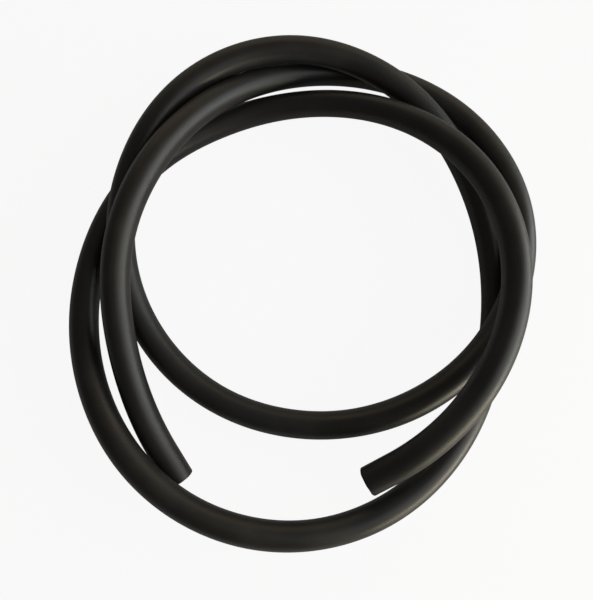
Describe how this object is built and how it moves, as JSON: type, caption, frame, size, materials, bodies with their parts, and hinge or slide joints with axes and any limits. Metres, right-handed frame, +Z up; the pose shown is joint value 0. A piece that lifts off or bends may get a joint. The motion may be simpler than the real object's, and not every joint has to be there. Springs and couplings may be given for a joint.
{
  "type": "soaker hose",
  "caption": "Bare length of porous black rubber soaker hose, lying in loose turns that cross over each other, with square-cut open ends that take barbed fittings.",
  "frame": {"origin": "on the ground under the middle of the coil's outline", "axes": "+Z up from the ground; -Y towards the side where both cut ends lie; +X from the low end's side to the high end's side"},
  "size_m": [0.2708, 0.295, 0.0545],
  "materials": {
    "porous_rubber": "satin, fine-grained"
  },
  "bodies": {
    "root": {"soaker_hose": "porous_rubber"}
  },
  "joints": []
}
